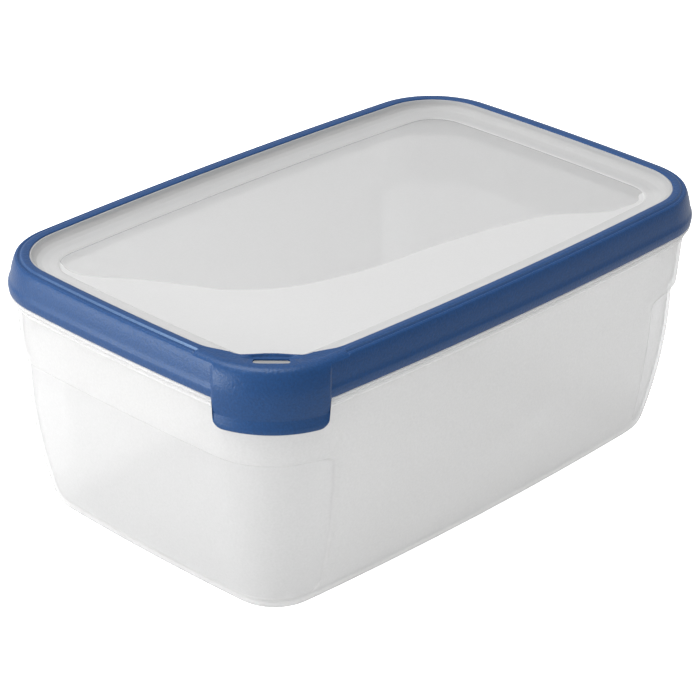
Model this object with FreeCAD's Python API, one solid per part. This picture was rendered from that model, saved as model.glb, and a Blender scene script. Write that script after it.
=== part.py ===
import FreeCAD, Part
import math
import os

# Snap lid food container, in millimetres.
# +X runs along the length, +Y across it, +Z up; the origin is the centre of the flat base.
# The thumb tab is at the corner towards -X and -Y.

Vector = FreeCAD.Vector
UP = Vector(0, 0, 1)

# ---- driving dimensions ----------------------------------------------------------------

# Rim: everything on the lid and the rim is measured outwards from the lid's recess edge,
# a rounded rectangle whose four sides bow gently outwards.
recess_length = 284.0
recess_width = 174.0
recess_corner = 30.0
long_side_bow = 4.4
short_side_bow = 2.6

# Tub wall below the band. Both walls curve inwards going down and end in a rounded foot.
band_bottom = 80.0
wall_half_length = 144.2      # at the band's lower edge
wall_half_width = 89.2
wall_corner = 31.4
end_slope, end_curve = 0.0346, 0.00149
side_slope, side_curve = -0.0152, 0.00165
corner_shrink = 0.095         # loss of corner radius per mm downwards
wall_foot = 9.5               # height at which the wall runs into the foot's curve

# Frosted band and long panels stand proud of the clear end windows.
panel_proud = 2.2             # at the band's lower edge, fading to nothing at the base
window_edge = 106.0           # the end windows start this far from the middle of the length
band_top = 106.0
band_taper = 0.066

wall = 1.5
floor_thickness = 2.0

# Rim of the tub: distances outwards from the recess edge, and heights.
rim_inner = 4.9
rim_outer = 6.4
rim_top = 121.5
shoulder_reach = 9.5
shoulder_top = 110.3
shoulder_relief = 8.1         # the shoulder is cut back to this behind the tab
snap_bead_reach = 7.2

# Lid
pane_inset = 13.0
pane_top = 120.4
pane_thickness = 1.4
frame_top = 126.4
frame_underside = 124.4
skirt_bottom = 110.7
plug_inner, plug_outer, plug_bottom = 2.3, 3.7, 115.5

# Thumb tab
tab_half_width = 24.3
tab_bottom = 98.6
tab_corner = 5.0
tab_gap = 0.3
slot_length = 15.4
slot_width = 4.0
slot_inset = 1.4              # slot centre line, inwards from the recess edge at the corner
web_drop = 0.2                # the web's top lies this far under the frame's top

# Limits of the cutting blocks, clear of everything
over_top = 140.0
far_out = 60.0
half_span = 200.0


# ---- outlines ----------------------------------------------------------------------------

def bowed_rectangle(half_length, half_width, corner, long_bow, short_bow):
    """Eight tangent arcs, anticlockwise from the +X side: (centre, radius, start, end)."""
    long_radius = (half_length ** 2 + long_bow ** 2) / (2 * long_bow)
    short_radius = (half_width ** 2 + short_bow ** 2) / (2 * short_bow)
    side_x = half_length - short_radius
    side_y = half_width - long_radius
    u = half_length - corner
    v = half_width - corner
    for _ in range(40):
        u = side_x + math.sqrt((short_radius - corner) ** 2 - v ** 2)
        v = side_y + math.sqrt((long_radius - corner) ** 2 - u ** 2)
    short_end = math.atan2(v, u - side_x)
    long_end = math.atan2(v - side_y, u)
    quarter = math.pi / 2
    return [
        ((side_x, 0), short_radius, -short_end, short_end),
        ((u, v), corner, short_end, long_end),
        ((0, side_y), long_radius, long_end, 2 * quarter - long_end),
        ((-u, v), corner, 2 * quarter - long_end, 2 * quarter - short_end),
        ((-side_x, 0), short_radius, 2 * quarter - short_end, 2 * quarter + short_end),
        ((-u, -v), corner, 2 * quarter + short_end, 2 * quarter + long_end),
        ((0, -side_y), long_radius, 2 * quarter + long_end, 4 * quarter - long_end),
        ((u, -v), corner, 4 * quarter - long_end, 4 * quarter - short_end),
    ]


def outline_wire(arcs, outwards, height):
    edges = []
    for (x, y), radius, start, end in arcs:
        circle = Part.Circle(Vector(x, y, height), UP, radius + outwards)
        edges.append(Part.Arc(circle, start, end).toShape())
    return Part.Wire(edges)


def outline_block(arcs, outwards, low, high):
    face = Part.Face(outline_wire(arcs, outwards, low))
    return face.extrude(Vector(0, 0, high - low))


def ring(arcs, section):
    """A closed section of (outwards, height) points, carried round the outline."""
    pieces = []
    for (x, y), radius, start, end in arcs:
        points = [Vector(x + radius + out, y, z) for out, z in section]
        face = Part.Face(Part.makePolygon(points + points[:1]))
        face.rotate(Vector(x, y, 0), UP, math.degrees(start))
        pieces.append(face.revolve(Vector(x, y, 0), UP, math.degrees(end - start)))
    return pieces[0].fuse(pieces[1:]).removeSplitter()


def block(x0, x1, y0, y1, z0, z1):
    return Part.makeBox(x1 - x0, y1 - y0, z1 - z0, Vector(x0, y0, z0))


recess = bowed_rectangle(recess_length / 2, recess_width / 2, recess_corner,
                         long_side_bow, short_side_bow)


# ---- tub ---------------------------------------------------------------------------------

def wall_size(height):
    """Half length, half width and corner radius of the window wall at a height."""
    down = band_bottom - height
    return (wall_half_length - end_slope * down - end_curve * down ** 2,
            wall_half_width - side_slope * down - side_curve * down ** 2,
            wall_corner - corner_shrink * down)


def foot_sections():
    """The rounded foot: an arc from the wall's lean to flat, as wall heights and insets."""
    down = band_bottom - wall_foot
    lean = math.atan((end_slope + side_slope) / 2 + (end_curve + side_curve) * down)
    radius = wall_foot / (1 - math.sin(lean))
    sections = []
    steps = 5
    for i in range(1, steps + 1):
        angle = lean + (math.pi / 2 - lean) * i / steps
        sections.append((radius * (1 - math.sin(angle)), radius * (math.cos(lean) - math.cos(angle))))
    return sections


def hull_solid(inset, proud):
    """Solid bounded by the window wall (proud=0) or the panel wall (proud=1)."""
    sizes = []
    for foot_height, foot_inset in reversed(foot_sections()):
        length, width, corner = wall_size(wall_foot)
        sizes.append((foot_height, length - foot_inset, width - foot_inset, corner - foot_inset))
    wall_steps = 7
    for i in range(wall_steps + 1):
        height = wall_foot + (band_bottom - wall_foot) * i / wall_steps
        sizes.append((height,) + wall_size(height))
    top_size = wall_size(band_bottom)
    rise = band_taper * (band_top - band_bottom)
    sizes.append((band_top,) + tuple(size + rise for size in top_size))
    wires = []
    for height, length, width, corner in sizes:
        extra = proud * panel_proud * min(height / band_bottom, 1) - inset
        arcs = bowed_rectangle(length + extra, width + extra, corner + extra,
                               long_side_bow, short_side_bow)
        wires.append(outline_wire(arcs, 0, height))
    return Part.makeLoft(wires, True, True)


def tub_volume(inset):
    """Window wall at the ends, panel wall on the long sides and round the band."""
    split = band_bottom + inset
    panel_end = window_edge - inset
    panels = block(-panel_end, panel_end, -half_span, half_span, -1, split)
    below = block(-half_span, half_span, -half_span, half_span, -1, split)
    above = block(-half_span, half_span, -half_span, half_span, split, over_top)
    proud = hull_solid(inset, 1).common(panels.fuse(above))
    windows = hull_solid(inset, 0).common(below)
    return proud.fuse(windows)


def tub_rim():
    foot = band_top - 1.0
    wall_outer = 6.3
    section = [
        (wall_outer - wall, foot), (wall_outer, foot), (wall_outer + 0.5, foot + 1.6),
        (shoulder_reach - 0.6, shoulder_top - 1.4), (shoulder_reach, shoulder_top - 1.0),
        (shoulder_reach, shoulder_top), (rim_outer, shoulder_top),
        (rim_outer, 112.4), (snap_bead_reach, 113.2), (snap_bead_reach, 114.0), (rim_outer, 115.4),
        (rim_outer, 118.0), (rim_outer - 0.4, rim_top - 0.3), (rim_outer - 0.8, rim_top),
        (rim_inner + 0.4, rim_top), (rim_inner, rim_top - 0.4), (rim_inner, 109.0),
    ]
    return ring(recess, section)


def container_body():
    outside = tub_volume(0)
    over_floor = block(-half_span, half_span, -half_span, half_span, floor_thickness, over_top)
    shell = outside.cut(tub_volume(wall).common(over_floor))
    shoulder_low, shoulder_high = band_top - 1, shoulder_top + 1
    beyond_relief = ring(recess, [(shoulder_relief, shoulder_low), (far_out / 2, shoulder_low),
                                  (far_out / 2, shoulder_high), (shoulder_relief, shoulder_high)])
    behind_tab = corner_block(0, far_out, tab_half_width + 1, shoulder_low, shoulder_high)
    rim = tub_rim().cut(beyond_relief.common(behind_tab))
    return shell.fuse(rim).removeSplitter()


# ---- the tab's corner ----------------------------------------------------------------------

corner_centre = recess[5][0]
tab_angle = math.radians(225)
apex = recess_corner          # distance of the recess edge from the corner's centre
hinge_reach = apex - slot_inset


def in_corner(shape):
    """Places a shape drawn with +X outwards through the tab and +Y across it."""
    shape.rotate(Vector(0, 0, 0), UP, math.degrees(tab_angle))
    shape.translate(Vector(corner_centre[0], corner_centre[1], 0))
    return shape


def corner_block(out_from, out_to, half_width, low, high):
    return in_corner(block(out_from, out_to, -half_width, half_width, low, high))


def tab_window(margin):
    """Prism with rounded lower corners that bounds the tab, grown by a margin."""
    half = tab_half_width + margin
    low = tab_bottom - margin
    radius = tab_corner + margin
    high = over_top
    side = radius * (1 - math.sqrt(0.5))
    edges = [
        Part.makeLine(Vector(0, -half, high), Vector(0, -half, low + radius)),
        Part.Arc(Vector(0, -half, low + radius), Vector(0, -half + side, low + side),
                 Vector(0, -half + radius, low)).toShape(),
        Part.makeLine(Vector(0, -half + radius, low), Vector(0, half - radius, low)),
        Part.Arc(Vector(0, half - radius, low), Vector(0, half - side, low + side),
                 Vector(0, half, low + radius)).toShape(),
        Part.makeLine(Vector(0, half, low + radius), Vector(0, half, high)),
        Part.makeLine(Vector(0, half, high), Vector(0, -half, high)),
    ]
    prism = Part.Face(Part.Wire(edges)).extrude(Vector(far_out, 0, 0))
    prism.translate(Vector(hinge_reach + tab_gap / 2 - margin, 0, 0))
    return in_corner(prism)


def slot_block():
    half = slot_length / 2
    return corner_block(hinge_reach - slot_width / 2, hinge_reach + slot_width / 2, half,
                        frame_underside - 0.4, frame_top + 2)


def corner_web():
    """Flat web that widens the frame inwards at the tab's corner, drawn as (outwards, across)."""
    tip, shoulder, root = (22.6, 12.0), (17.0, 21.5), (9.6, 33.0)
    middle = Vector(21.0, 0, frame_underside)
    one_side = [Vector(x, y, frame_underside) for x, y in (tip, shoulder, root, (apex + 4, root[1]))]
    other_side = [Vector(p.x, -p.y, p.z) for p in reversed(one_side)]
    inner_edge = Part.Arc(other_side[-1], middle, one_side[0]).toShape()
    rest = Part.makePolygon(one_side + other_side)
    face = Part.Face(Part.Wire([inner_edge] + rest.Edges))
    plate = in_corner(face.extrude(Vector(0, 0, frame_top - web_drop - frame_underside)))
    return plate.common(outline_block(recess, 0.5, frame_underside, frame_top))


# ---- lid -----------------------------------------------------------------------------------

frame_section = [
    (0, frame_underside), (0, frame_top - 0.1), (0.5, frame_top + 0.1), (3.3, frame_top + 0.3),
    (4.2, frame_top + 0.1), (4.8, frame_top - 0.5), (5.3, frame_top - 0.1), (6.2, frame_top - 0.3),
    (7.0, 125.0), (7.6, 123.5), (8.35, 120.0), (9.05, 116.4), (9.4, 115.4), (9.85, 114.5),
    (9.95, 113.0), (9.65, skirt_bottom),
    (7.9, skirt_bottom), (7.6, 111.4), (8.0, 113.6), (7.6, 116.4), (6.95, 120.0), (6.2, 123.2),
    (5.5, frame_underside),
]

tab_section = [
    (-4.0, 124.8), (-4.0, frame_top), (3.6, frame_top), (5.6, frame_top - 0.2), (7.1, 125.0),
    (8.2, 122.8), (9.2, 119.6), (10.0, 116.4), (10.5, 113.5), (10.5, 109.0), (10.3, 104.5),
    (10.5, 102.6), (11.1, 100.0), (11.0, tab_bottom),
    (9.6, tab_bottom), (9.0, 101.6), (8.75, 104.5), (8.8, 112.6), (8.3, 116.4), (7.5, 119.8),
    (6.6, 122.8), (5.9, 124.8),
]

panel_section = [
    (0, frame_underside), (0, frame_top - 0.4), (-0.7, frame_top - 0.5), (-1.6, 124.4),
    (-3.0, 122.9), (-5.2, 121.9), (-8.5, 121.4), (-11.8, 121.2), (-pane_inset, pane_top),
    (-pane_inset - 1, pane_top), (-pane_inset - 1, pane_top - pane_thickness),
    (-12.4, pane_top - pane_thickness), (-11.3, 119.8), (-8.3, 120.0), (-4.8, 120.5),
    (-2.2, 121.5), (0.4, 122.9), (plug_inner, 122.9), (plug_inner, plug_bottom),
    (plug_outer, plug_bottom), (plug_outer, frame_underside),
]

seal_section = [
    (plug_outer, frame_underside), (plug_outer, 118.4), (4.55, 118.8), (4.55, 121.9),
    (5.75, 121.9), (5.45, frame_underside),
]


def lid_frame():
    frame = ring(recess, frame_section).cut(tab_window(tab_gap))
    frame = frame.fuse(corner_web().cut(tab_window(tab_gap)))
    return frame.cut(slot_block()).removeSplitter()


def corner_tab():
    tab = ring(recess, tab_section).common(tab_window(0))
    return tab.cut(slot_block())


def lid_panel():
    pane = outline_block(recess, -pane_inset, pane_top - pane_thickness, pane_top)
    panel = ring(recess, panel_section).fuse(pane).removeSplitter()
    return panel.cut(corner_web())


def lid_seal():
    return ring(recess, seal_section)


# ---- export --------------------------------------------------------------------------------

nodes = {
    "container_body": container_body(),
    "lid_panel": lid_panel(),
    "lid_frame": lid_frame(),
    "corner_tab": corner_tab(),
    "lid_seal": lid_seal(),
}

os.makedirs("parts", exist_ok=True)
for name, shape in nodes.items():
    box = shape.BoundBox
    print(f"{name}: solids {len(shape.Solids)}, valid {shape.isValid()}, volume {shape.Volume:.0f}, "
          f"x {box.XMin:.1f}..{box.XMax:.1f}, y {box.YMin:.1f}..{box.YMax:.1f}, "
          f"z {box.ZMin:.1f}..{box.ZMax:.1f}")
    shape.exportStep(f"parts/{name}.step")
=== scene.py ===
import math

import bmesh
import bpy
import numpy as np
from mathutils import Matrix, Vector


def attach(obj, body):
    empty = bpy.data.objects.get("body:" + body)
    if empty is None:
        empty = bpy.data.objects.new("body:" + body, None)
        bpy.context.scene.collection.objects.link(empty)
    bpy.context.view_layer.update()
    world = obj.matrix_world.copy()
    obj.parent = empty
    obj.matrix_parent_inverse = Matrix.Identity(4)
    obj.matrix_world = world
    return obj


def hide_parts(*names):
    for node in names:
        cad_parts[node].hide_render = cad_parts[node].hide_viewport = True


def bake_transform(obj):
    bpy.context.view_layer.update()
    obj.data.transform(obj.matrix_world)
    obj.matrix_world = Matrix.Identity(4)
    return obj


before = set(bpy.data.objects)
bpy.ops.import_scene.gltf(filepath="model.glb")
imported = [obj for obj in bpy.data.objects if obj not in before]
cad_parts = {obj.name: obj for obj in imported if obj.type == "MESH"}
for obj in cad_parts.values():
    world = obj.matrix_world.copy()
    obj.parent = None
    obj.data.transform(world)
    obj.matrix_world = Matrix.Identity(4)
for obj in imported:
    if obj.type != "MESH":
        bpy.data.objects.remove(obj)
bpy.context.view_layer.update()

mm = 0.001
smoothAngle = 40          # degrees: edges sharper than this stay crisp
grainHeight = 0.0002      # metres, the depth of every moulded grain
cornerSteps = 4           # points that round each corner of a section

camera = {
    "focal": 144.63,
    "azimuth": -46.716, "elevation": 26.605, "roll": 1.110,
    "distance": 1333.49, "across": -2.788, "up": 52.634,
}
studio = {
    "floorSize": 9.0,
    "floorColour": (0.82, 0.82, 0.82), "floorRoughness": 0.9, "floorSpecular": 0.1, "floorGlow": 1.0,
    "brightSide": (-0.86, 0.40, 0.32), "skyTurn": -0.5, "skyDim": 0.40, "skyBright": 0.80,
}
lamps = {
    # name: place, size, watts; every one looks at the middle of the box, under the lid
    "leftWindow": {"place": (-1.38, 0.62, 0.25), "size": (1.0, 0.32), "power": 10.2},
    "topPanel": {"place": (-0.35, 0.25, 1.65), "size": (1.2, 1.2), "power": 19.0},
}


def addCamera(settings):
    turn, lift, roll = (math.radians(settings[k]) for k in ("azimuth", "elevation", "roll"))
    back = Vector((math.sin(turn) * math.cos(lift), -math.cos(turn) * math.cos(lift), math.sin(lift)))
    right = Vector((math.cos(turn), math.sin(turn), 0))
    up = back.cross(right)
    sideways = right * math.cos(roll) + up * math.sin(roll)
    upwards = up * math.cos(roll) - right * math.sin(roll)
    place = (back * settings["distance"] + sideways * settings["across"] + upwards * settings["up"]) * mm
    data = bpy.data.cameras.new("camera")
    data.lens = settings["focal"]
    data.sensor_width = 36.0
    data.clip_end = 50.0
    thing = bpy.data.objects.new("camera", data)
    for axis, vector in enumerate((sideways, upwards, back)):
        for row in range(3):
            thing.matrix_world[row][axis] = vector[row]
    matrix = thing.matrix_world.copy()
    matrix.translation = place
    thing.matrix_world = matrix
    bpy.context.scene.collection.objects.link(thing)
    bpy.context.scene.camera = thing


def addLamp(name, place, size, power):
    data = bpy.data.lights.new(name, "AREA")
    data.shape = "RECTANGLE"
    data.size, data.size_y = size
    data.energy = power
    thing = bpy.data.objects.new(name, data)
    thing.location = place
    aim = Vector((0, 0, 0.1)) - Vector(place)
    thing.rotation_euler = aim.to_track_quat("-Z", "Y").to_euler()
    bpy.context.scene.collection.objects.link(thing)


def addNode(tree, kind, **values):
    made = tree.nodes.new(kind)
    for key, value in values.items():
        setattr(made, key, value)
    return made


def freshMaterial(name):
    material = bpy.data.materials.new(name)
    material.use_nodes = True
    material.node_tree.nodes.clear()
    return material, material.node_tree


def mathNode(tree, operation, first, second=None, third=None, clamp=False):
    made = addNode(tree, "ShaderNodeMath", operation=operation, use_clamp=clamp)
    for slot, value in zip(made.inputs, (first, second, third)):
        if value is None:
            continue
        if isinstance(value, (int, float)):
            slot.default_value = value
        else:
            tree.links.new(value, slot)
    return made.outputs[0]


def mixFloat(tree, share, low, high):
    made = addNode(tree, "ShaderNodeMapRange")
    tree.links.new(share, made.inputs["Value"])
    made.inputs["To Min"].default_value = low
    made.inputs["To Max"].default_value = high
    return made.outputs[0]


def mixColour(tree, share, low, high):
    made = addNode(tree, "ShaderNodeMix", data_type="RGBA")
    tree.links.new(share, made.inputs[0])
    for slot, value in ((made.inputs[6], low), (made.inputs[7], high)):
        if isinstance(value, tuple):
            slot.default_value = (*value, 1)
        else:
            tree.links.new(value, slot)
    return made.outputs[2]


# sections are in millimetres: outwards from the edge of the lid's recess, then up from the ground
recess = {"halfLength": 142.0, "halfWidth": 87.0, "corner": 30.0, "longBow": 4.4, "shortBow": 2.6}


def bowedArcs(halfLength, halfWidth, corner, longBow=recess["longBow"], shortBow=recess["shortBow"]):
    # eight arcs that meet smoothly, anticlockwise from the +X side: centre x, y, radius, start, end
    longRadius = (halfLength ** 2 + longBow ** 2) / (2 * longBow)
    shortRadius = (halfWidth ** 2 + shortBow ** 2) / (2 * shortBow)
    sideX, sideY = halfLength - shortRadius, halfWidth - longRadius
    u, v = halfLength - corner, halfWidth - corner
    for _ in range(40):       # settles on the centre of the corner's arc
        u = sideX + math.sqrt((shortRadius - corner) ** 2 - v ** 2)
        v = sideY + math.sqrt((longRadius - corner) ** 2 - u ** 2)
    a, b, half = math.atan2(v, u - sideX), math.atan2(v - sideY, u), math.pi
    return [
        (sideX, 0, shortRadius, -a, a), (u, v, corner, a, b),
        (0, sideY, longRadius, b, half - b), (-u, v, corner, half - b, half - a),
        (-sideX, 0, shortRadius, half - a, half + a), (-u, -v, corner, half + a, half + b),
        (0, -sideY, longRadius, half + b, 2 * half - b), (u, -v, corner, 2 * half - b, 2 * half - a),
    ]


rimArcs = bowedArcs(**recess)
tabArc = 5                                    # the thumb tab is at the corner towards -X and -Y
tabCentre = np.array(rimArcs[tabArc][:2])
tabOut = np.array([-1.0, -1.0]) / math.sqrt(2)
tabAcross = np.array([1.0, -1.0]) / math.sqrt(2)


def roundLoop(points, closed=True):
    # (outwards, height, radius) corners to a smooth run of points, the same number for each corner
    count, run = len(points), []
    for i, (x, z, radius) in enumerate(points):
        here = np.array([x, z], float)
        if not closed and i in (0, count - 1):
            run.append(here)
            continue
        before = np.array(points[i - 1][:2], float)
        after = np.array(points[(i + 1) % count][:2], float)
        back, ahead = before - here, after - here
        lengthBack, lengthAhead = np.linalg.norm(back), np.linalg.norm(ahead)
        back, ahead = back / lengthBack, ahead / lengthAhead
        inside = math.acos(float(np.clip(back @ ahead, -1, 1)))
        most = 0.46 * min(lengthBack, lengthAhead)        # two corners never meet on a short run
        reach = min(radius / max(math.tan(inside / 2), 1e-3), most)
        first, last = here + back * reach, here + ahead * reach
        for t in np.linspace(0, 1, cornerSteps):
            run.append((1 - t) ** 2 * first + 2 * t * (1 - t) * here + t ** 2 * last)
    return np.array(run)


def smoothStep(value, low, high):
    t = np.clip((np.asarray(value, float) - low) / (high - low), 0, 1)
    return t * t * (3 - 2 * t)


def meshObject(name, vertices, faces, attributes=None):
    mesh = bpy.data.meshes.new(name)
    mesh.from_pydata([tuple(v) for v in np.asarray(vertices) * mm], [], faces)
    for key, values in (attributes or {}).items():
        mesh.attributes.new(key, "FLOAT", "POINT").data.foreach_set("value", np.asarray(values, np.float32))
    return finishedMesh(name, mesh)


def finishedMesh(name, mesh):
    mesh.polygons.foreach_set("use_smooth", [True] * len(mesh.polygons))
    mesh.set_sharp_from_angle(angle=math.radians(smoothAngle))
    mesh.update()
    thing = bpy.data.objects.new(name, mesh)
    bpy.context.scene.collection.objects.link(thing)
    return thing


def stripFaces(rows, columns):
    # quads between neighbouring rows of a ring; rows run up the outside, columns anticlockwise
    faces = []
    for r in range(rows - 1):
        low, high = r * columns, (r + 1) * columns
        for c in range(columns):
            n = (c + 1) % columns
            faces.append((low + c, low + n, high + n, high + c))
    return faces


tub = {
    "bandBottom": 80.0, "bandTaper": 0.066,
    "halfLength": 144.2, "halfWidth": 89.2, "corner": 31.4,     # window wall at the band's lower edge
    "endSlope": 0.0346, "endCurve": 0.00149, "sideSlope": -0.0152, "sideCurve": 0.00165,
    "cornerShrink": 0.095, "wallFoot": 9.5,
    "proud": 2.2, "windowEdge": 106.0, "edgeSpread": 1.2, "windowCorner": 5.0,
    "stepHalf": 0.6, "sideSoftness": 0.28,
    "frostStrip": 9.6, "stripCorner": 8.0, "wall": 1.5, "floor": 2.0,
    "clearFade": (-0.1, 0.4), "stripFade": (-0.3, 0.3),
    # insideHighlightLine: height, half width and frost of a painted highlight line on the inner wall
    "insideHighlightLine": 19.5, "insideHighlightHalf": 0.4, "insideHighlightFrost": 0.85,
    "shoulder": (105.5, 111.0), "shoulderRelief": 8.1, "reliefFade": (25.4, 26.4), "reliefFromTab": 15.0,
    "thickenedAbove": 72.0, "innerTop": 105.2,
}
tubRim = [
    (6.35, 105.0, 0), (7.45, 105.5, 0.3), (7.45, 106.4, 0.3), (6.3, 106.8, 0.25), (6.35, 107.9, 0.5),
    (9.1, 108.7, 0.6), (9.5, 109.3, 0.3), (9.5, 110.3, 0.3),
    (6.4, 110.3, 0.3), (6.4, 112.3, 0.4), (7.2, 113.2, 0.4), (7.2, 114.1, 0.4), (6.4, 115.4, 0.6),
    (6.4, 118.5, 1.0), (6.15, 121.4, 0.5), (5.0, 121.4, 0.5), (4.9, 109.0, 1.0), (4.85, 106.2, 0),
]


def tubColumns():
    # (arc, share) pairs; on the long arcs the share is a place along X, 1 just past the window's edge
    pairs = []
    dense = [0.0, 0.3, 0.55, 0.7, 0.8, 0.87, 0.92, 0.955, 0.974, 0.982, 0.9865, 0.99, 0.9935, 0.997]
    beyond = [1.0, 1.15, 1.32, 1.5, 1.68, 1.85]
    longShares = [-v for v in reversed(beyond)] + [-v for v in reversed(dense[1:])] + dense + beyond
    for arc in range(8):
        if arc in (2, 6):
            shares = longShares if arc == 6 else [-v for v in longShares]
            pairs += [(arc, -2.0)] if arc == 6 else [(arc, 2.0)]
            pairs += [(arc, s) for s in shares]
        elif arc in (0, 4):
            pairs += [(arc, s) for s in np.linspace(0, 1, 15)[:-1]]
        else:
            pairs += [(arc, s) for s in np.linspace(0, 1, 29)[:-1]]
    return pairs


def tubPlace(arcs, pairs, outwards=0.0):
    split = tub["windowEdge"] + tub["edgeSpread"]
    points, normals = [], []
    for arc, share in pairs:
        x, y, radius, start, end = arcs[arc]
        if arc in (2, 6):
            sign = 1 if arc == 2 else -1
            endX = radius * math.cos(start if arc == 2 else end)
            size = abs(share)
            where = min(size, 1) * split + max(size - 1, 0) * (endX - split)
            side = math.copysign(where, share) / radius
            normal = np.array([side, sign * math.sqrt(1 - side * side)])
        else:
            angle = start + (end - start) * share
            normal = np.array([math.cos(angle), math.sin(angle)])
        points.append(np.array([x, y]) + normal * (radius + outwards))
        normals.append(normal)
    return np.array(points), np.array(normals)


def wallSize(height):
    down = tub["bandBottom"] - height
    if down < 0:
        rise = -tub["bandTaper"] * down
        return tub["halfLength"] + rise, tub["halfWidth"] + rise, tub["corner"] + rise
    return (tub["halfLength"] - tub["endSlope"] * down - tub["endCurve"] * down ** 2,
            tub["halfWidth"] - tub["sideSlope"] * down - tub["sideCurve"] * down ** 2,
            tub["corner"] - tub["cornerShrink"] * down)


def windowDepth(points, height, grown):
    # how far inside an end window a point is, negative outside
    along = (np.abs(points[:, 0]) - tub["windowEdge"] + grown) * tub["sideSoftness"]
    down = tub["bandBottom"] + grown - height
    radius = tub["windowCorner"]
    depth = np.minimum(along, down)
    rounded = radius - np.hypot(radius - along, radius - down)
    return np.where((along < radius) & (down < radius), rounded, depth)


def tubRow(pairs, height, inset, sizeHeight=None, footInset=0.0):
    sizes = [s - inset - footInset for s in wallSize(height if sizeHeight is None else sizeHeight)]
    points, normals = tubPlace(bowedArcs(*sizes), pairs)
    depth = windowDepth(points, height, inset)
    proud = tub["proud"] * min(max(height, 0) / tub["bandBottom"], 1)
    raised = proud * (1 - smoothStep(depth, -tub["stepHalf"], tub["stepHalf"]))
    points = points + normals * raised[:, None]
    return points, np.full(len(points), float(height)), windowClear(points, depth, height, inset)


def windowClear(points, depth, height, inset):
    # 1 where the wall is polished: the end windows down to the frosted foot, less a fine frosted line
    #                               inside, a painted highlight that stands in for a bright line of refracted
    #                               light
    along = np.abs(points[:, 0]) - tub["windowEdge"]
    rise = np.full(len(points), height - tub["frostStrip"])
    radius = tub["stripCorner"]
    corner = radius - np.hypot(radius - along, radius - rise)
    lower = np.where((along < radius) & (rise < radius), corner, np.minimum(along, rise))
    clear = smoothStep(depth, *tub["clearFade"]) * smoothStep(lower, *tub["stripFade"])
    # painted highlight: the inner wall is frosted along a fine line so that it shows bright
    if inset:
        nearHighlight = math.exp(-((height - tub["insideHighlightLine"]) / tub["insideHighlightHalf"]) ** 2)
        clear = clear * (1 - tub["insideHighlightFrost"] * nearHighlight)
    return clear


def makeTub():
    pairs = tubColumns()
    down = tub["bandBottom"] - tub["wallFoot"]
    lean = math.atan((tub["endSlope"] + tub["sideSlope"]) / 2 + (tub["endCurve"] + tub["sideCurve"]) * down)
    footRadius = tub["wallFoot"] / (1 - math.sin(lean))
    foot = np.linspace(math.pi / 2, lean, 14)
    line = tub["insideHighlightLine"]
    heights = [10.3, 11.2, 12.5, 14.5, 17]
    heights += [line + step for step in (-0.9, -0.5, -0.2, 0, 0.2, 0.5, 0.9)]
    heights += [23, 27, 34, 41, 48, 55, 61, 66, 70, 73, 74.6, 75.6, 76.6, 77.5, 78.3, 78.9, 79.3]
    heights += [79.55, 79.75, 79.95, 80.15, 80.35, 80.6, 81.2, 83, 87, 92, 97, 101, 104]
    rows = []
    for angle in foot:
        footInset = footRadius * (math.cos(lean) - math.cos(angle))
        rows.append(tubRow(pairs, footRadius * (1 - math.sin(angle)), 0, tub["wallFoot"], footInset))
    for height in heights:
        rows.append(tubRow(pairs, height, 0))
    rimStart = len(rows)
    for outwards, height in roundLoop(tubRim, closed=False):
        points, normals = tubPlace(rimArcs, pairs, outwards)
        if tub["shoulder"][0] < height < tub["shoulder"][1]:     # the shoulder is cut back behind the tab
            across = (points - tabCentre) @ tabAcross
            nearTab = (points - tabCentre) @ tabOut > tub["reliefFromTab"]
            cut = np.minimum(outwards, tub["shoulderRelief"]) - outwards
            share = nearTab * (1 - smoothStep(np.abs(across), *tub["reliefFade"]))
            points = points + normals * (cut * share)[:, None]
        rows.append((points, np.full(len(points), float(height)), np.zeros(len(points))))
    rimRows = range(rimStart, len(rows))
    for height in reversed(heights):
        raised = height + tub["wall"] if height > tub["thickenedAbove"] else height
        rows.append(tubRow(pairs, min(raised, tub["innerTop"]), tub["wall"]))
    for angle in foot[::-1]:
        footInset = (footRadius - tub["wall"]) * (math.cos(lean) - math.cos(angle))
        height = footRadius - (footRadius - tub["floor"]) * math.sin(angle)
        rows.append(tubRow(pairs, height, tub["wall"], tub["wallFoot"], footInset))
    vertices = np.concatenate([np.column_stack([p, z]) for p, z, _ in rows])
    clear = np.concatenate([c for _, _, c in rows])
    count = len(pairs)
    thick = np.zeros((len(rows), count))
    thick[list(rimRows)] = 1.0
    faces = stripFaces(len(rows), count)
    faces.append(tuple(reversed(range(count))))
    faces.append(tuple((len(rows) - 1) * count + c for c in range(count)))
    return meshObject("tub", vertices, faces, {"clearWindow": clear, "thickRim": thick.ravel()})


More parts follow.
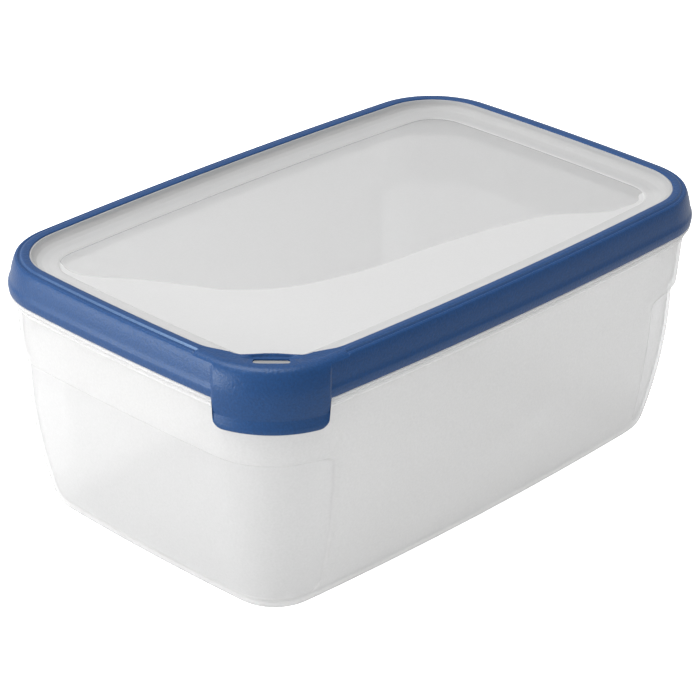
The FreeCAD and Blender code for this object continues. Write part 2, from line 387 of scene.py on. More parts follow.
softFrame = {
    "frameRun": [
        (0.05, 124.5, 0.1), (0.05, 126.35, 0.35), (0.5, 126.5, 9), (0.9, 126.55, 9), (1.4, 126.6, 9),
        (1.9, 126.65, 9), (2.9, 126.7, 9), (3.8, 126.5, 0.9), (4.3, 125.7, 0.25), (4.85, 125.6, 0.25),
        (5.4, 125.95, 0.4), (6.5, 125.6, 90), (7.5, 123.3, 90), (8.35, 120.0, 90), (9.05, 116.4, 90),
        (9.8, 114.7, 2), (9.95, 113.2, 9), (9.9, 112.2, 9), (9.65, 110.75, 0.45), (8.0, 110.75, 0.3),
        (7.7, 111.4, 0.3), (8.0, 113.4, 0.6), (7.9, 114.6, 1), (7.6, 116.4, 9), (6.95, 120.0, 9),
        (6.3, 122.8, 9), (5.9, 123.9, 0.8), (5.4, 124.5, 0.3),
    ],
    "tabRun": [
        (0.05, 124.5, 0.1), (0.05, 126.35, 0.35), (0.5, 126.4, 9), (0.9, 126.42, 9), (1.4, 126.44, 9),
        (1.9, 126.45, 9), (2.9, 126.45, 90), (3.8, 126.4, 90), (4.6, 126.25, 90), (5.4, 125.95, 90),
        (6.3, 125.4, 90), (7.2, 124.4, 90), (8.2, 122.5, 90), (9.25, 119.4, 90), (10.05, 116.2, 90),
        (10.35, 112.6, 90), (10.5, 108.6, 90), (10.3, 104.5, 0.5), (11.5, 100.2, 90), (11.3, 98.6, 0.5),
        (9.6, 98.6, 0.5), (9.0, 101.6, 9), (8.75, 104.5, 9), (8.8, 112.6, 90), (8.3, 116.4, 90),
        (7.5, 119.8, 90), (6.6, 122.8, 9), (5.9, 124.5, 0.4),
    ],
    "plainPoints": 12,            # the first points of the tab's run also shape the plain land beside it
    "tabEdge": 19.75,             # along the recess edge, from the tab's middle
    "tabHalf": 24.3, "tabBottom": 98.6, "tabCorner": 5.0, "creaseHeight": 104.6,
    "edgeFade": (0.5, 0.35),      # the tab fades into the frame from this far inside its edge to outside
    # the ridge rows carry a painted highlight, a paler colour, weakest far from the tab and fading with
    # distance from it
    "ridgeEnd": 33.0, "ridgeBlend": 0.9, "ridgeRows": (29, 33), "ridgeFade": (31.5, 33.0),
    "ridgeGlintLeast": 0.10, "ridgeGlintFade": 60.0,
    "webEdge": [(0, -9.1), (4, -8.85), (8.2, -7.8), (11.5, -6.4), (14.6, -4.5), (17, -4.1), (20.7, -4.0),
                (22.3, -3.7), (25.5, -2.7), (31.4, -0.6), (38.4, 0.05)],
    "webTop": 126.35, "lipWidth": 0.9, "recessHeight": 125.2, "recessReach": 11.0, "foldRadius": 0.3,
    "parallelStart": (8, 15), "parallelEnd": (20, 22.2), "parallelAt": 10, "parallelLeast": 7.5,
    "slotLength": 15.4, "slotWidth": 4.0, "slotCorner": 1.2, "slotFromCentre": 28.6,
    "slotCut": (120.5, 128.0), "slotFill": 125.7, "bossFoot": 120.9, "bossGap": 0.08,
    "flexLength": 3.0, "creaseAngle": 50, "farFromTab": 1000.0,
}


def frameColumns():
    # arc, angle and distance along the recess edge from the tab's middle, closest together at the tab's edge
    cornerLength = rimArcs[tabArc][2] * (rimArcs[tabArc][4] - rimArcs[tabArc][3]) / 2
    tabPlaces = [0, 1.2, 2.4, 3.6, 4.8, 6, 7.2, 8.4, 9.6, 10.8, 12, 13.2, 14.4, 15.4, 16.2, 16.9]
    tabPlaces += [17.5, 18.0, 18.5, 18.9, 19.2, 19.35, 19.5, 19.6, 19.7, 19.8, 19.9, 20.05, 20.3]
    tabPlaces += [20.7, 21.2, 21.8]
    sidePlaces = [0.01, 1, 2, 3.2, 4.5, 6, 7.5, 9, 9.6, 10.0, 10.3, 10.6, 10.9, 11.2, 12, 13, 14.5, 16.5]
    sidePlaces += [19, 22, 27, 34, 42]
    columns = []
    for index, (_, _, radius, start, end) in enumerate(rimArcs):
        if index == tabArc:
            middle = math.radians(225)       # straight out through the tab
            for place in [-p for p in reversed(tabPlaces[1:])] + tabPlaces:
                columns.append((index, middle + place / radius, place))
        elif index in (tabArc - 1, tabArc + 1):
            near = [p / radius for p in sidePlaces]
            rest = (end - start) - near[-1]
            evenly = [near[-1] + rest * t for t in np.linspace(0, 1, 16)[1:-1]]
            if index == tabArc - 1:
                for turn in reversed(near + evenly):
                    columns.append((index, end - turn, -(cornerLength + turn * radius)))
            else:
                for turn in near + evenly:
                    columns.append((index, start + turn, cornerLength + turn * radius))
        else:
            steps = 30 if index % 2 else 18
            for t in np.linspace(0, 1, steps)[:-1]:
                columns.append((index, start + (end - start) * t, softFrame["farFromTab"]))
    return columns


def slopeHeight(outwards):
    # top of the lid's slope, under the web
    places = [-11.8, -8.5, -5.2, -3.0, -1.6, -0.7, 0]
    return float(np.interp(outwards, places, [121.2, 121.4, 121.9, 122.9, 124.4, 125.9, 126.0]))


def frameSection(place, runs):
    frameRun, tabRun, plainRun = runs
    away = abs(place)
    ridgeEnd, edge, corner = (softFrame[key] for key in ("ridgeEnd", "tabEdge", "tabCorner"))
    beyondRidge = smoothStep(away, ridgeEnd - softFrame["ridgeBlend"], ridgeEnd)
    run = frameRun + (plainRun - frameRun) * (1 - beyondRidge)
    tab = tabRun.copy()
    side = (away / edge) * softFrame["tabHalf"]
    straight = softFrame["tabHalf"] - corner
    if side > straight:        # the tab's lower corners are rounded
        lift = corner - math.sqrt(max(corner ** 2 - min(side - straight, corner) ** 2, 0))
        low, crease = softFrame["tabBottom"], softFrame["creaseHeight"]
        below = tab[:, 1] < crease
        tab[below, 1] = crease - (crease - tab[below, 1]) * (crease - low - lift) / (crease - low)
    inside, outside = softFrame["edgeFade"]
    share = 1 - smoothStep(away, edge - inside, edge + outside)
    run = run + (tab - run) * share
    webEdge = float(np.interp(away, *zip(*softFrame["webEdge"])))
    if webEdge < 0.04:
        run = webbed(run, place, webEdge)
    return run


def webbed(run, place, webEdge):
    # the first points of the run carry the web's inner edge, its raised lip and the recess before the slot
    run = run.copy()
    radius, fold = rimArcs[tabArc][2], softFrame["foldRadius"]
    top, sunk, reach = (softFrame[key] for key in ("webTop", "recessHeight", "recessReach"))
    deep = 1 - float(smoothStep(abs(place), reach - 1.5, reach + 1.5))
    slotEdge = softFrame["slotFromCentre"] - softFrame["slotWidth"] / 2 - fold
    slotInner = slotEdge / math.cos(min(abs(place / radius), 0.6)) - radius
    lip = webEdge + softFrame["lipWidth"]
    slotInner = max(slotInner, lip + 0.6)
    strength = float(smoothStep(-webEdge, 0, 0.6))
    low = top - (top - sunk) * deep
    anchors = [(webEdge, slopeHeight(webEdge) - 0.5), (webEdge, top), (lip, top), (lip + 0.45, low),
               (slotInner - fold, low), (slotInner + 0.1, top)]
    target = roundLoop([(x, z, fold) for x, z in anchors], closed=False)
    first = np.vstack([target[:1]] * cornerSteps)
    last = np.vstack([target[-1:]] * cornerSteps)
    shaped = np.vstack([first, target[1:-1], last])
    count = len(shaped)
    run[:count] += (shaped - run[:count]) * strength
    return run


def makeSoftFrame():
    frameRun, tabRun = (roundLoop(softFrame[key]) for key in ("frameRun", "tabRun"))
    plainRun = frameRun.copy()
    keep = softFrame["plainPoints"] * cornerSteps
    fade = smoothStep(np.arange(len(plainRun)), keep - 6, keep + 2)[:, None]
    plainRun[:keep + cornerSteps] = (tabRun + (frameRun - tabRun) * fade)[:keep + cornerSteps]
    columns = frameColumns()
    rings = []
    for arc, angle, place in columns:
        run = frameSection(place, (frameRun, tabRun, plainRun))
        x, y, radius = rimArcs[arc][:3]
        reach = radius + run[:, 0]
        turned = np.full(len(run), angle)
        if arc == tabArc:      # by the tab's edge the columns run parallel to the tab, not square to the rim
            across = (radius + softFrame["parallelAt"]) * math.sin(place / radius)
            straight = np.arcsin(across / (radius + np.maximum(run[:, 0], softFrame["parallelLeast"])))
            share = smoothStep(abs(place), *softFrame["parallelStart"])
            share = share * (1 - smoothStep(abs(place), *softFrame["parallelEnd"]))
            turned = turned + (straight - place / radius) * share
        rings.append(np.column_stack([x + reach * np.cos(turned), y + reach * np.sin(turned), run[:, 1]]))
    count, size = len(rings), len(rings[0])
    faces = []
    for c in range(count):
        n = (c + 1) % count
        for r in range(size):
            s = (r + 1) % size
            faces.append((c * size + r, c * size + s, n * size + s, n * size + r))
    shine = np.zeros((count, size))
    first, last = softFrame["ridgeRows"]
    least = softFrame["ridgeGlintLeast"]
    for row, (arc, _, place) in zip(shine, columns):        # painted highlight: the ridge is paler, most on the short side near the tab where the lamp glints, with a lower roughness there too
        glinting = math.exp(-abs(place) / softFrame["ridgeGlintFade"]) if arc == tabArc - 1 else 0
        row[first:last] = (least + (1 - least) * glinting) * smoothStep(abs(place), *softFrame["ridgeFade"])
    thing = meshObject("softFrame", np.concatenate(rings), faces, {"ridgePolishAndGlint": shine.ravel()})
    cutSlot(thing)
    thing.data.polygons.foreach_set("use_smooth", [True] * len(thing.data.polygons))
    thing.data.set_sharp_from_angle(angle=math.radians(softFrame["creaseAngle"]))
    return thing


def slotPrism(name, low, high, grown):
    half, width = softFrame["slotLength"] / 2 + grown, softFrame["slotWidth"] / 2 + grown
    radius = softFrame["slotCorner"] + grown
    outline = []
    for sx, sy in ((1, 1), (-1, 1), (-1, -1), (1, -1)):
        turns = np.linspace(0, math.pi / 2, 6)
        turns = turns if sx * sy > 0 else turns[::-1]
        for t in turns:
            along = half - radius + radius * math.cos(t)
            outline.append((sx * along, sy * (width - radius + radius * math.sin(t))))
    vertices = []
    for height in (low, high):
        for across, out in outline:
            spot = tabCentre + tabAcross * across + tabOut * (softFrame["slotFromCentre"] + out)
            vertices.append((spot[0], spot[1], height))
    count = len(outline)
    faces = [tuple(range(count)), tuple(range(2 * count - 1, count - 1, -1))]
    faces += [(i, i + count, (i + 1) % count + count, (i + 1) % count) for i in range(count)]
    prism = meshObject(name, vertices, faces)
    tidyNormals(prism.data)
    return prism


def cutSlot(thing):
    cutter = slotPrism("slotCutter", *softFrame["slotCut"], 0)
    cut = thing.modifiers.new("slot", "BOOLEAN")
    cut.operation, cut.solver, cut.object = "DIFFERENCE", "EXACT", cutter
    bpy.context.view_layer.update()
    evaluated = thing.evaluated_get(bpy.context.evaluated_depsgraph_get())
    mesh = bpy.data.meshes.new_from_object(evaluated)
    thing.modifiers.clear()
    thing.data = mesh
    bpy.data.objects.remove(cutter)


def tidyNormals(mesh):
    shape = bmesh.new()
    shape.from_mesh(mesh)
    bmesh.ops.remove_doubles(shape, verts=shape.verts, dist=1e-7)
    bmesh.ops.recalc_face_normals(shape, faces=shape.faces)
    shape.to_mesh(mesh)
    shape.free()


lidPanel = {
    "section": [
        (-14.0, 120.4, 0), (-13.2, 120.4, 0.3), (-12.3, 121.1, 0.5), (-11.4, 121.25, 0.5), (-8.5, 121.4, 2),
        (-5.2, 121.9, 2), (-3.0, 122.9, 1.5), (-1.7, 124.4, 1.2), (-0.75, 125.9, 0.3), (-0.02, 126.05, 0.2),
        (-0.02, 124.4, 0.1), (3.7, 124.4, 0.1), (3.7, 115.5, 0.4), (2.3, 115.5, 0.4), (2.3, 122.9, 0.5),
        (0.4, 122.9, 0.6), (-2.2, 121.5, 2), (-4.8, 120.5, 1.5), (-8.3, 120.0, 2), (-11.3, 119.8, 0.4),
        (-12.4, 119.0, 0.4), (-14.0, 119.0, 0),
    ],
    "paneTop": 120.4, "paneBottom": 119.0,
}
sealingLip = {
    "section": [(3.72, 124.38, 0.1), (3.72, 118.4, 0.3), (4.55, 118.9, 0.3), (4.55, 121.9, 0.2),
                (5.75, 121.9, 0.3), (5.4, 124.38, 0.1)],
}


def rimPath():
    points = []
    for index, (x, y, radius, start, end) in enumerate(rimArcs):
        steps = 33 if index % 2 else 65
        for angle in np.linspace(start, end, steps)[:-1]:
            points.append((x + radius * math.cos(angle), y + radius * math.sin(angle), 0))
    count = len(points)
    return edgeObject("rimPath", points, [(i, (i + 1) % count) for i in range(count)])


def edgeObject(name, points, edges):
    mesh = bpy.data.meshes.new(name)
    mesh.from_pydata([tuple(c * mm for c in p) for p in points], edges, [])
    thing = bpy.data.objects.new(name, mesh)
    bpy.context.scene.collection.objects.link(thing)
    return thing


def sectionObject(name, corners, closed):
    run = roundLoop(corners, closed)
    count = len(run)
    edges = [(i, i + 1) for i in range(count - 1)] + ([(count - 1, 0)] if closed else [])
    return edgeObject(name, [(x, -z, 0) for x, z in run], edges)   # the sweep carries -Y upwards


def sweepTree():
    tree = bpy.data.node_groups.new("sectionAlongRim", "GeometryNodeTree")
    face = tree.interface
    face.new_socket("Geometry", in_out="INPUT", socket_type="NodeSocketGeometry")
    face.new_socket("Section", in_out="INPUT", socket_type="NodeSocketObject")
    face.new_socket("Pane", in_out="INPUT", socket_type="NodeSocketBool")
    face.new_socket("Pane Top", in_out="INPUT", socket_type="NodeSocketFloat")
    face.new_socket("Pane Bottom", in_out="INPUT", socket_type="NodeSocketFloat")
    face.new_socket("Material", in_out="INPUT", socket_type="NodeSocketMaterial")
    face.new_socket("Geometry", in_out="OUTPUT", socket_type="NodeSocketGeometry")
    given = addNode(tree, "NodeGroupInput")
    result = addNode(tree, "NodeGroupOutput")

    def join(source, output, target, slot):
        tree.links.new(source.outputs[output], target.inputs[slot])

    path = addNode(tree, "GeometryNodeMeshToCurve")
    join(given, "Geometry", path, "Mesh")
    upright = addNode(tree, "GeometryNodeSetCurveNormal", mode="Z_UP")
    join(path, "Curve", upright, "Curve")
    info = addNode(tree, "GeometryNodeObjectInfo")
    join(given, "Section", info, "Object")
    profile = addNode(tree, "GeometryNodeMeshToCurve")
    join(info, "Geometry", profile, "Mesh")
    sweep = addNode(tree, "GeometryNodeCurveToMesh")
    join(upright, "Curve", sweep, "Curve")
    join(profile, "Curve", sweep, "Profile Curve")

    # the pane closes the sweep's open inner edge, above and below
    neighbours = addNode(tree, "GeometryNodeInputMeshEdgeNeighbors")
    rim = addNode(tree, "FunctionNodeCompare", data_type="INT", operation="EQUAL")
    join(neighbours, "Face Count", rim, 2)
    rim.inputs[3].default_value = 1
    place = addNode(tree, "GeometryNodeInputPosition")
    split = addNode(tree, "ShaderNodeSeparateXYZ")
    join(place, "Position", split, 0)
    middle = addNode(tree, "ShaderNodeMath", operation="ADD")
    join(given, "Pane Top", middle, 0)
    join(given, "Pane Bottom", middle, 1)
    half = addNode(tree, "ShaderNodeMath", operation="MULTIPLY")
    join(middle, 0, half, 0)
    half.inputs[1].default_value = 0.5
    above = addNode(tree, "FunctionNodeCompare", data_type="FLOAT", operation="GREATER_THAN")
    join(split, "Z", above, 0)
    join(half, 0, above, 1)
    upper = addNode(tree, "FunctionNodeBooleanMath", operation="AND")
    join(rim, 0, upper, 0)
    join(above, 0, upper, 1)
    edge = addNode(tree, "GeometryNodeMeshToCurve")
    join(sweep, "Mesh", edge, "Mesh")
    join(upper, 0, edge, "Selection")
    fill = addNode(tree, "GeometryNodeFillCurve", mode="NGONS")
    join(edge, "Curve", fill, "Curve")
    sheets = addNode(tree, "GeometryNodeJoinGeometry")
    for name, flip in (("Pane Bottom", True), ("Pane Top", False)):
        offset = addNode(tree, "ShaderNodeCombineXYZ")
        join(given, name, offset, "Z")
        move = addNode(tree, "GeometryNodeSetPosition")
        join(fill, "Mesh", move, "Geometry")
        join(offset, 0, move, "Offset")
        if flip:
            turned = addNode(tree, "GeometryNodeFlipFaces")
            join(move, "Geometry", turned, "Mesh")
            join(turned, "Mesh", sheets, 0)
        else:
            join(move, "Geometry", sheets, 0)
    choose = addNode(tree, "GeometryNodeSwitch", input_type="GEOMETRY")
    join(given, "Pane", choose, "Switch")
    join(sheets, 0, choose, "True")
    whole = addNode(tree, "GeometryNodeJoinGeometry")
    join(choose, 0, whole, 0)
    join(sweep, "Mesh", whole, 0)
    weld = addNode(tree, "GeometryNodeMergeByDistance")
    join(whole, 0, weld, "Geometry")
    weld.inputs["Distance"].default_value = 2e-6
    real = addNode(tree, "GeometryNodeRealizeInstances")
    join(weld, "Geometry", real, "Geometry")
    paint = addNode(tree, "GeometryNodeSetMaterial")
    join(real, "Geometry", paint, "Geometry")
    join(given, "Material", paint, "Material")
    join(paint, "Geometry", result, "Geometry")
    return tree


def sweptPiece(name, tree, path, section, inputs):
    thing = bpy.data.objects.new(name + "Source", path.data.copy())
    bpy.context.scene.collection.objects.link(thing)
    modifier = thing.modifiers.new("sectionAlongRim", "NODES")
    modifier.node_group = tree
    values = {"Section": section, **inputs}
    for item in tree.interface.items_tree:
        if item.item_type == "SOCKET" and item.in_out == "INPUT" and item.name in values:
            modifier[item.identifier] = values[item.name]
    bpy.context.view_layer.update()
    evaluated = thing.evaluated_get(bpy.context.evaluated_depsgraph_get())
    mesh = bpy.data.meshes.new_from_object(evaluated)
    thing.modifiers.clear()
    bpy.data.objects.remove(thing)
    bpy.data.objects.remove(section)
    mesh.name = name
    tidyNormals(mesh)
    return finishedMesh(name, mesh)


tubPlastic = {
    "frostColour": (0.978, 0.978, 0.976), "clearColour": (0.972, 0.973, 0.974),
    "frostRoughness": 0.46, "clearRoughness": 0.16,
    "frostOpen": 0.38, "clearOpen": 0.50, "edgeClosing": 0.0, "edgeOpening": 0.5, "edgeSharpness": 5.0,
    "rimClosing": 1.0, "glow": 0.55, "tint": 0.995, "edgeTint": (0.10, 0.10, 0.10),
    "grain": 1000.0, "grainDepth": 0.5, "speckle": 0.06, "mottle": 22.0, "unevenness": 0.04,
}
lidPlastic = {
    "frostColour": (0.84, 0.84, 0.839), "clearColour": (0.79, 0.79, 0.791),
    "frostRoughness": 0.42, "clearRoughness": 0.18,
    "frostOpen": 0.10, "clearOpen": 0.74, "edgeClosing": 0.5, "edgeOpening": 0.0, "edgeSharpness": 3.0,
    "rimClosing": 0.0, "glow": 0.42, "tint": 0.905, "slopeClear": 0.55, "edgeTint": (0.6, 0.6, 0.6),
    "grain": 1400.0, "grainDepth": 0.25, "speckle": 0.03, "mottle": 22.0, "unevenness": 0.04,
}
# the lid's pale plastic seen in the slot, darkened to a painted shade of the slot's recess
slotBoss = {
    **lidPlastic, "frostColour": (0.55, 0.55, 0.545), "clearColour": (0.55, 0.55, 0.545),
    "frostOpen": 0.0, "clearOpen": 0.0,
}

# where the matt area of the pane ends, in millimetres along and across the axes that waveFrame gives
paneWave = [(-139.8, -3.9), (-138.3, 5.1), (-134.2, 12.8), (-129.5, 16.2), (-107.4, 26.5), (-88.0, 38.3),
            (-71.1, 47.1), (-52.0, 49.9), (-21.8, 45.0), (4.4, 36.0), (15.6, 30.8), (36.1, 22.5),
            (70.5, 11.9), (90.1, 8.4), (113.6, 11.4), (127.5, 8.0), (134.8, 4.1), (140.8, -4.0)]


def plasticMaterial(name, look, clearShare):
    material, tree = freshMaterial(name)
    out = addNode(tree, "ShaderNodeOutputMaterial")
    spot = addNode(tree, "ShaderNodeTexCoord").outputs["Object"]
    share = clearShare(tree, spot)
    mottle = addNode(tree, "ShaderNodeTexNoise")
    mottle.inputs["Scale"].default_value = look["mottle"]
    mottle.inputs["Detail"].default_value = 3
    tree.links.new(spot, mottle.inputs["Vector"])
    grain = addNode(tree, "ShaderNodeTexNoise")
    grain.inputs["Scale"].default_value = look["grain"]
    grain.inputs["Detail"].default_value = 1
    tree.links.new(spot, grain.inputs["Vector"])
    bump = addNode(tree, "ShaderNodeBump")
    bump.inputs["Distance"].default_value = grainHeight
    tree.links.new(grain.outputs[0], bump.inputs["Height"])
    thick = addNode(tree, "ShaderNodeAttribute", attribute_name="thickRim").outputs["Fac"]
    smoothRim = mathNode(tree, "SUBTRACT", 1.0, thick)
    grainDepth = mathNode(tree, "MULTIPLY", mixFloat(tree, share, look["grainDepth"], 0.0), smoothRim)
    tree.links.new(grainDepth, bump.inputs["Strength"])
    plain = mixColour(tree, share, look["frostColour"], look["clearColour"])
    speck = mathNode(tree, "MULTIPLY_ADD", grain.outputs[0], look["speckle"] * 2, 1 - look["speckle"])
    colour = addNode(tree, "ShaderNodeVectorMath", operation="SCALE")
    tree.links.new(plain, colour.inputs[0])
    tree.links.new(speck, colour.inputs["Scale"])
    colour = colour.outputs[0]
    solid = addNode(tree, "ShaderNodeBsdfPrincipled")
    solid.inputs["IOR"].default_value = 1.49
    tree.links.new(colour, solid.inputs["Base Color"])
    rough = mixFloat(tree, share, look["frostRoughness"], look["clearRoughness"])
    uneven = mathNode(tree, "MULTIPLY_ADD", mottle.outputs[0], look["unevenness"] * 2, -look["unevenness"])
    tree.links.new(mathNode(tree, "ADD", rough, uneven), solid.inputs["Roughness"])
    tree.links.new(bump.outputs[0], solid.inputs["Normal"])
    glow = addNode(tree, "ShaderNodeBsdfTranslucent")
    tree.links.new(colour, glow.inputs["Color"])
    body = addNode(tree, "ShaderNodeMixShader")
    body.inputs[0].default_value = look["glow"]
    tree.links.new(solid.outputs[0], body.inputs[1])
    tree.links.new(glow.outputs[0], body.inputs[2])
    through = addNode(tree, "ShaderNodeBsdfTransparent")
    facing = addNode(tree, "ShaderNodeLayerWeight")
    facing.inputs["Blend"].default_value = 0.35
    grazing = mathNode(tree, "POWER", facing.outputs["Facing"], look["edgeSharpness"])
    tinted = (look["tint"],) * 3
    tree.links.new(mixColour(tree, grazing, tinted, look["edgeTint"]), through.inputs["Color"])
    closing = mathNode(tree, "MULTIPLY_ADD", facing.outputs["Facing"], -look["edgeClosing"], 1.0)
    openWall = mixFloat(tree, share, look["frostOpen"], look["clearOpen"])
    openShare = mathNode(tree, "MULTIPLY", openWall, closing)
    rimShare = mathNode(tree, "MULTIPLY_ADD", thick, -look["rimClosing"], 1.0)
    openShare = mathNode(tree, "MULTIPLY", openShare, rimShare)
    opening = mathNode(tree, "MULTIPLY_ADD", grazing, look["edgeOpening"], openShare, clamp=True)
    mix = addNode(tree, "ShaderNodeMixShader")
    tree.links.new(opening, mix.inputs[0])
    tree.links.new(body.outputs[0], mix.inputs[1])
    tree.links.new(through.outputs[0], mix.inputs[2])
    tree.links.new(mix.outputs[0], out.inputs["Surface"])
    return material


# the wave's own axes on the pane: turned from X, how long and wide they run, and where the width starts
waveFrame = {"turn": -28.565, "length": 290, "width": 80, "start": 20, "softness": 0.8}


def windowShare(tree, spot):
    found = addNode(tree, "ShaderNodeAttribute", attribute_name="clearWindow")
    return found.outputs["Fac"]


def paneShare(tree, spot):
    # 1 beyond the wave on the pane, where it is clear, 0 nearer than it, and between them on the slope
    turn = addNode(tree, "ShaderNodeMapping", vector_type="TEXTURE")
    turn.inputs["Rotation"].default_value = (0, 0, math.radians(waveFrame["turn"]))
    tree.links.new(spot, turn.inputs["Vector"])
    split = addNode(tree, "ShaderNodeSeparateXYZ")
    tree.links.new(turn.outputs[0], split.inputs[0])
    curve = addNode(tree, "ShaderNodeFloatCurve")
    line = curve.mapping.curves[0]
    length, width, start = (waveFrame[key] for key in ("length", "width", "start"))
    places = [((along + length / 2) / length, (across + start) / width) for along, across in paneWave]
    line.points[0].location, line.points[1].location = (0, places[0][1]), (1, places[-1][1])
    for place in places:
        line.points.new(*place)
    for point in line.points:
        point.handle_type = "AUTO_CLAMPED"
    curve.mapping.update()
    along = mathNode(tree, "MULTIPLY_ADD", split.outputs["X"], 1 / (length * mm), 0.5)
    tree.links.new(along, curve.inputs["Value"])
    border = mathNode(tree, "MULTIPLY_ADD", curve.outputs[0], -width * mm, start * mm)
    beyond = addNode(tree, "ShaderNodeMapRange", interpolation_type="SMOOTHSTEP")
    tree.links.new(mathNode(tree, "SUBTRACT", split.outputs["Y"], border), beyond.inputs["Value"])
    beyond.inputs["From Min"].default_value = -waveFrame["softness"] * mm
    beyond.inputs["From Max"].default_value = waveFrame["softness"] * mm
    height = addNode(tree, "ShaderNodeSeparateXYZ")       # the slope round the pane is partly clear
    tree.links.new(spot, height.inputs[0])
    slope = addNode(tree, "ShaderNodeMapRange", interpolation_type="SMOOTHSTEP")
    tree.links.new(height.outputs["Z"], slope.inputs["Value"])
    slope.inputs["From Min"].default_value = (lidPanel["paneTop"] + 0.1) * mm
    slope.inputs["From Max"].default_value = (lidPanel["paneTop"] + 0.5) * mm
    slope.inputs["To Max"].default_value = lidPlastic["slopeClear"]
    onSlope = mathNode(tree, "GREATER_THAN", height.outputs["Z"], (lidPanel["paneTop"] + 0.3) * mm)
    onPane = mathNode(tree, "MULTIPLY", beyond.outputs[0], mathNode(tree, "SUBTRACT", 1.0, onSlope))
    return mathNode(tree, "MAXIMUM", onPane, slope.outputs[0])


blueFrame = {
    # ridgeGlintColour is the paler colour of the ridge's painted highlight
    "colour": (0.0042, 0.049, 0.172), "pale": (0.0065, 0.057, 0.193), "ridgeGlintColour": (0.24, 0.36, 0.55),
    "roughness": 0.33, "ridgeRoughness": 0.20, "specular": 0.46, "specularTint": (0.86, 0.94, 1.0),
    "grain": 1000.0, "grainDepth": 0.8, "speckle": 0.30, "grainRoughness": 0.1,
    "cloud": 30.0, "unevenness": 0.06, "sheen": 0.03,
}


def blueMaterial(look):
    material, tree = freshMaterial("softBlueRubber")
    out = addNode(tree, "ShaderNodeOutputMaterial")
    spot = addNode(tree, "ShaderNodeTexCoord").outputs["Object"]
    cloud = addNode(tree, "ShaderNodeTexNoise")
    cloud.inputs["Scale"].default_value = look["cloud"]
    cloud.inputs["Detail"].default_value = 4
    tree.links.new(spot, cloud.inputs["Vector"])
    grain = addNode(tree, "ShaderNodeTexNoise")
    grain.inputs["Scale"].default_value = look["grain"]
    grain.inputs["Detail"].default_value = 2
    tree.links.new(spot, grain.inputs["Vector"])
    bump = addNode(tree, "ShaderNodeBump")
    bump.inputs["Distance"].default_value = grainHeight
    bump.inputs["Strength"].default_value = look["grainDepth"]
    tree.links.new(grain.outputs[0], bump.inputs["Height"])
    solid = addNode(tree, "ShaderNodeBsdfPrincipled")
    solid.inputs["Sheen Weight"].default_value = look["sheen"]
    solid.inputs["Sheen Roughness"].default_value = 0.5
    solid.inputs["Specular IOR Level"].default_value = look["specular"]
    solid.inputs["Specular Tint"].default_value = (*look["specularTint"], 1)
    # painted highlight: where the ridge attribute is set, the colour is paler and the roughness lower
    ridgePolishAndGlint = addNode(tree, "ShaderNodeAttribute", attribute_name="ridgePolishAndGlint").outputs["Fac"]
    soft = mixColour(tree, cloud.outputs[0], look["colour"], look["pale"])
    speck = mathNode(tree, "MULTIPLY_ADD", grain.outputs[0], look["speckle"] * 2, 1 - look["speckle"])
    speckled = addNode(tree, "ShaderNodeVectorMath", operation="SCALE")
    tree.links.new(mixColour(tree, ridgePolishAndGlint, soft, look["ridgeGlintColour"]), speckled.inputs[0])
    tree.links.new(speck, speckled.inputs["Scale"])
    tree.links.new(speckled.outputs[0], solid.inputs["Base Color"])
    uneven = mathNode(tree, "MULTIPLY_ADD", cloud.outputs[0], look["unevenness"] * 2, -look["unevenness"])
    level = mathNode(tree, "ADD", mixFloat(tree, ridgePolishAndGlint, look["roughness"], look["ridgeRoughness"]), uneven)
    rough = mathNode(tree, "MULTIPLY_ADD", grain.outputs[0], look["grainRoughness"], level)
    tree.links.new(rough, solid.inputs["Roughness"])
    tree.links.new(bump.outputs[0], solid.inputs["Normal"])
    tree.links.new(solid.outputs[0], out.inputs["Surface"])
    return material


sealRubber = {
    "colour": (0.70, 0.69, 0.65), "pale": (0.76, 0.75, 0.71), "roughness": (0.45, 0.6), "grain": 900.0,
}


def sealMaterial(look):
    material, tree = freshMaterial("paleSealRubber")
    out = addNode(tree, "ShaderNodeOutputMaterial")
    spot = addNode(tree, "ShaderNodeTexCoord").outputs["Object"]
    grain = addNode(tree, "ShaderNodeTexNoise")
    grain.inputs["Scale"].default_value = look["grain"]
    tree.links.new(spot, grain.inputs["Vector"])
    solid = addNode(tree, "ShaderNodeBsdfPrincipled")
    colour = mixColour(tree, grain.outputs[0], look["colour"], look["pale"])
    tree.links.new(colour, solid.inputs["Base Color"])
    tree.links.new(mixFloat(tree, grain.outputs[0], *look["roughness"]), solid.inputs["Roughness"])
    tree.links.new(solid.outputs[0], out.inputs["Surface"])
    return material


def addSky(scene):
    # brighter on one side, and plain white where the camera looks straight at it
    world = bpy.data.worlds.new("studio")
    scene.world = world
    world.use_nodes = True
    tree = world.node_tree
    sky = tree.nodes["Background"]
    sky.inputs["Color"].default_value = (1, 1, 1, 1)
    direction = addNode(tree, "ShaderNodeTexCoord").outputs["Generated"]
    towards = addNode(tree, "ShaderNodeVectorMath", operation="DOT_PRODUCT")
    tree.links.new(direction, towards.inputs[0])
    towards.inputs[1].default_value = studio["brightSide"]
    shade = addNode(tree, "ShaderNodeMapRange")
    shade.inputs["From Min"].default_value = studio["skyTurn"]
    shade.inputs["To Min"].default_value = studio["skyDim"]
    shade.inputs["To Max"].default_value = studio["skyBright"]
    tree.links.new(towards.outputs["Value"], shade.inputs["Value"])
    seen = addNode(tree, "ShaderNodeLightPath").outputs["Is Camera Ray"]
    tree.links.new(mathNode(tree, "MAXIMUM", shade.outputs[0], seen), sky.inputs["Strength"])


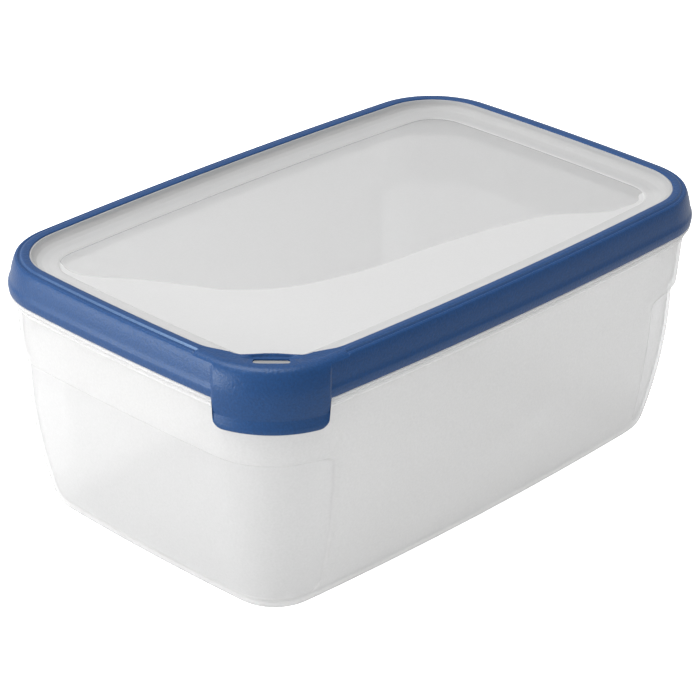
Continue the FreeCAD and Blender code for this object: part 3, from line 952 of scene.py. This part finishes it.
def makeFloor():
    # pale, with a glow that only the camera sees, so that it looks white
    half = studio["floorSize"] / 2 / mm
    corners = [(-half, -half, 0), (half, -half, 0), (half, half, 0), (-half, half, 0)]
    thing = meshObject("floor", corners, [(0, 1, 2, 3)])
    material, tree = freshMaterial("paleFloor")
    out = addNode(tree, "ShaderNodeOutputMaterial")
    solid = addNode(tree, "ShaderNodeBsdfPrincipled")
    solid.inputs["Base Color"].default_value = (*studio["floorColour"], 1)
    solid.inputs["Roughness"].default_value = studio["floorRoughness"]
    solid.inputs["Specular IOR Level"].default_value = studio["floorSpecular"]
    solid.inputs["Emission Color"].default_value = (1, 1, 1, 1)
    seen = addNode(tree, "ShaderNodeLightPath").outputs["Is Camera Ray"]
    glow = mathNode(tree, "MULTIPLY", seen, studio["floorGlow"])
    tree.links.new(glow, solid.inputs["Emission Strength"])
    tree.links.new(solid.outputs[0], out.inputs["Surface"])
    thing.data.materials.append(material)
    return thing


scene = bpy.context.scene
scene.view_settings.view_transform = "Standard"
scene.cycles.transparent_max_bounces = 24
addCamera(camera)
for lampName, lamp in lamps.items():
    addLamp(lampName, lamp["place"], lamp["size"], lamp["power"])
addSky(scene)
floor = makeFloor()
print("studio ready")

tubMaterial = plasticMaterial("frostedTubPlastic", tubPlastic, windowShare)
lidMaterial = plasticMaterial("frostedLidPlastic", lidPlastic, paneShare)
blue = blueMaterial(blueFrame)
seal = sealMaterial(sealRubber)

tubPiece = makeTub()
tubPiece.data.materials.append(tubMaterial)
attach(tubPiece, "tub")
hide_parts("container_body")
print("tub", len(tubPiece.data.polygons))

tree = sweepTree()
path = rimPath()
panelPiece = sweptPiece(
    "lidPanel", tree, path, sectionObject("panelSection", lidPanel["section"], False),
    {"Pane": True, "Pane Top": lidPanel["paneTop"] * mm, "Pane Bottom": lidPanel["paneBottom"] * mm,
     "Material": lidMaterial})
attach(panelPiece, "lid")
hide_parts("lid_panel")
lipPiece = sweptPiece(
    "sealingLip", tree, path, sectionObject("lipSection", sealingLip["section"], True), {"Material": seal})
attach(lipPiece, "lid")
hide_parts("lid_seal")
bpy.data.objects.remove(path)
# the boss's darker colour is a painted shade of the slot
bossPiece = slotPrism("slotBoss", softFrame["bossFoot"], softFrame["slotFill"], -softFrame["bossGap"])
bossPiece.data.materials.append(plasticMaterial("slotBossShadedPlastic", slotBoss, paneShare))
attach(bossPiece, "lid")
print("lid panel", len(panelPiece.data.polygons), "sealing lip", len(lipPiece.data.polygons))

framePiece = makeSoftFrame()
framePiece.data.materials.clear()
framePiece.data.materials.append(blue)
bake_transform(framePiece)
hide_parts("lid_frame", "corner_tab")
print("soft frame", len(framePiece.data.polygons))
